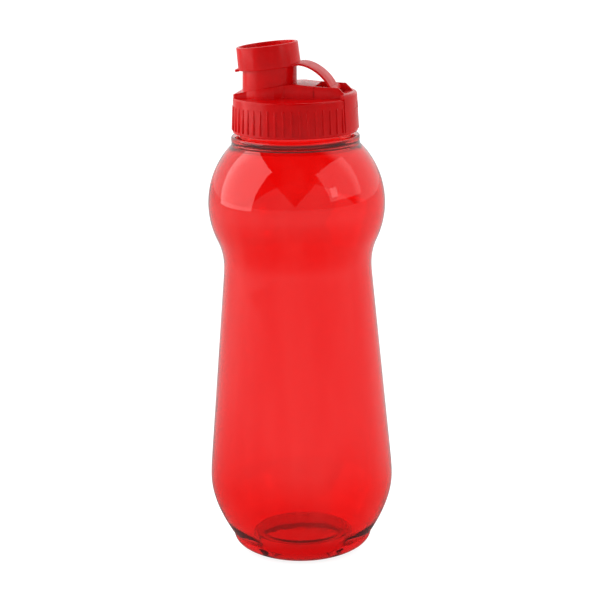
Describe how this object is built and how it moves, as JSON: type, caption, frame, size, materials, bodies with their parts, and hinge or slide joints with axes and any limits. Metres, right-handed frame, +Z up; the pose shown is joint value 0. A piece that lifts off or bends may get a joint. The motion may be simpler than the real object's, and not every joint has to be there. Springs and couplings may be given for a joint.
{
  "type": "sports squeeze bottle",
  "caption": "Waisted squeeze bottle with a ribbed screw cap, an angled drinking spout and a spout cap on a pivoting strap.",
  "frame": {"origin": "on the bottle's axis, on the plane that it stands on", "axes": "+Z up along the bottle's axis, the spout at -X and the strap's pivot at +X"},
  "size_m": [0.0808, 0.0808, 0.2273],
  "materials": {
    "bottle_plastic": "glossy, translucent red, blown",
    "cap_plastic": "satin-gloss opaque red, injection moulded",
    "strap_plastic": "satin opaque red, injection moulded",
    "seal_rubber": "soft off-white elastomer"
  },
  "bodies": {
    "bottle": {"bottle": "bottle_plastic"},
    "seal": {"sealing_ring": "seal_rubber"},
    "cap": {"screw_cap": "cap_plastic"},
    "strap": {"tether_strap": "strap_plastic"},
    "spout_cap": {"spout_cap": "cap_plastic"}
  },
  "joints": [
    {"name": "cap_lift", "type": "slide", "parent": "bottle", "child": "seal", "axis": [0, 0, 1], "range_m": [0, 0.0161]},
    {"name": "cap_turn", "type": "hinge", "parent": "seal", "child": "cap", "pos_m": [0, 0, 0.2], "axis": [0, 0, 1], "range_deg": [0, 1440]},
    {"name": "tether_swing", "type": "hinge", "parent": "cap", "child": "strap", "pos_m": [0.0173, 0, 0.20667], "axis": [0, 1, 0], "range_deg": [0, 120]},
    {"name": "spout_cap_flip", "type": "hinge", "parent": "strap", "child": "spout_cap", "pos_m": [0.00309, 0, 0.21838], "axis": [0, 1, 0], "range_deg": [0, 90]}
  ],
  "couplings": [
    {"joint": "cap_lift", "follows": "cap_turn", "m_per_rad": 0.00063662}
  ]
}
